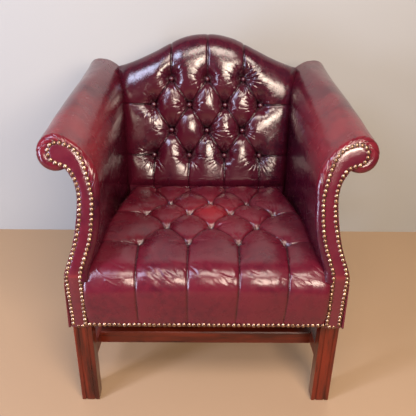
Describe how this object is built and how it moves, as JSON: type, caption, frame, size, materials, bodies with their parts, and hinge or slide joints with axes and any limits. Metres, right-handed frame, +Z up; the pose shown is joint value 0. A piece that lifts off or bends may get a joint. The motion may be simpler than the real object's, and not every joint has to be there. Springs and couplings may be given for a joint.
{
  "type": "leather club chair",
  "caption": "Leather club chair with deep-buttoned seat and humped back, rolled arms, nailed arm fronts and square reeded legs with stretchers.",
  "frame": {"origin": "on the floor, under the middle of the chair's plan", "axes": "+X across the chair to its left side as sat in, +Y from the front to the back, +Z up"},
  "size_m": [0.8304, 0.728, 0.9026],
  "materials": {
    "leather_red": "oxblood leather, waxed and rubbed",
    "leather_dark": "dark oxblood leather, glossy",
    "stained_wood": "red mahogany stain under polish",
    "frame_wood": "unfinished beech",
    "stuffing": "hair stuffing under muslin",
    "webbing": "jute webbing",
    "burlap": "plain woven jute",
    "steel": "plain steel",
    "antique_brass": "antique brass"
  },
  "bodies": {
    "root": {"arm_cover_left": "leather_red", "arm_cover_right": "leather_red", "arm_facing_left": "leather_dark", "arm_facing_right": "leather_dark", "arm_pad_left": "stuffing", "arm_pad_right": "stuffing", "arm_post_left": "frame_wood", "arm_post_right": "frame_wood", "arm_tack_rail_left": "frame_wood", "arm_tack_rail_right": "frame_wood", "arm_top_rail_left": "frame_wood", "arm_top_rail_right": "frame_wood", "back_buttons": "leather_dark", "back_cover": "leather_dark", "back_leg_left": "stained_wood", "back_leg_right": "stained_wood", "back_pad": "stuffing", "back_seat_rail": "frame_wood", "back_stretcher": "stained_wood", "back_tack_rail": "frame_wood", "back_webbing": "webbing", "corner_block_screws": "antique_brass", "corner_blocks": "frame_wood", "crest_rail": "frame_wood", "cross_stretcher": "stained_wood", "dust_cover": "burlap", "foot_glides": "steel", "frame_dowels": "frame_wood", "front_leg_left": "stained_wood", "front_leg_right": "stained_wood", "front_seat_rail": "frame_wood", "outside_arm_left": "leather_dark", "outside_arm_right": "leather_dark", "outside_back": "leather_dark", "seat_buttons": "leather_red", "seat_cover": "leather_red", "seat_pad": "stuffing", "seat_springs": "steel", "seat_webbing_crosswise": "webbing", "seat_webbing_lengthwise": "webbing", "side_seat_rail_left": "frame_wood", "side_seat_rail_right": "frame_wood", "side_stretcher_left": "stained_wood", "side_stretcher_right": "stained_wood", "spring_burlap": "burlap"}
  },
  "joints": []
}
